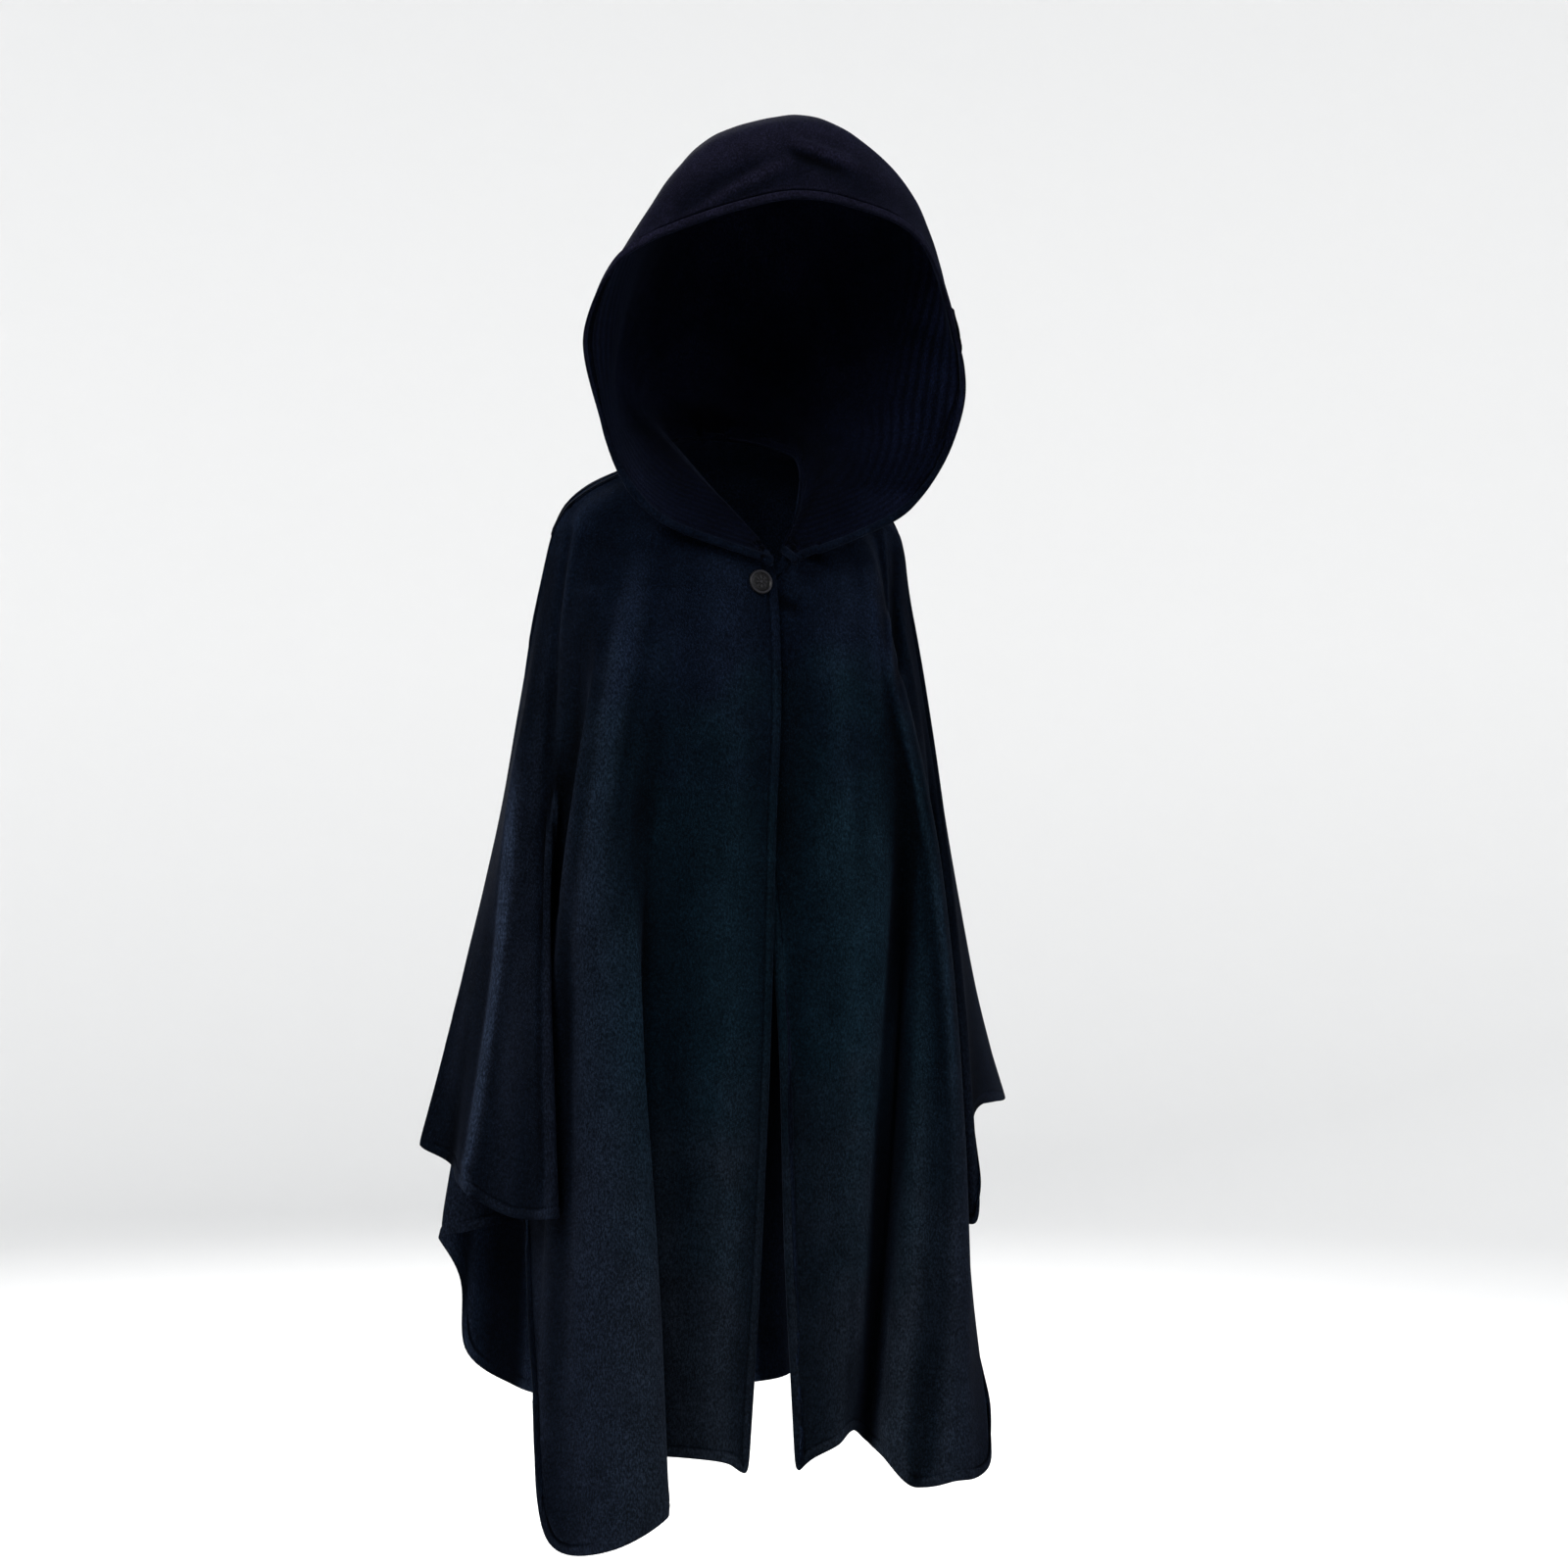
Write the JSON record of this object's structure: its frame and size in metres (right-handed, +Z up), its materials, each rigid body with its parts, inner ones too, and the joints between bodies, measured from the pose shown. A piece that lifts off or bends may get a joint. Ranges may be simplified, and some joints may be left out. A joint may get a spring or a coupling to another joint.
{
  "type": "hooded wool cape",
  "caption": "Long hooded cape in thick navy wool, worn hanging in folds, closed at the neck with one button; the cloth drapes over both arms and opens at the front below the waist.",
  "frame": {"origin": "midway between the wearer's shoulders, level with the base of the neck, where the shoulders hold the cape up", "axes": "+Z up; the wearer faces -Y, and +X is the wearer's left"},
  "size_m": [0.6529, 0.3723, 1.4008],
  "materials": {
    "wool": "brushed navy wool with a soft nap and no shine",
    "wool_hood": "the same navy wool, with fine raised ribs on the inside of the hood",
    "horn": "dark polished horn with a lighter worn rim"
  },
  "bodies": {
    "root": {"front_right": "wool", "front_left": "wool", "back": "wool", "hood": "wool_hood", "button": "horn"}
  },
  "joints": []
}
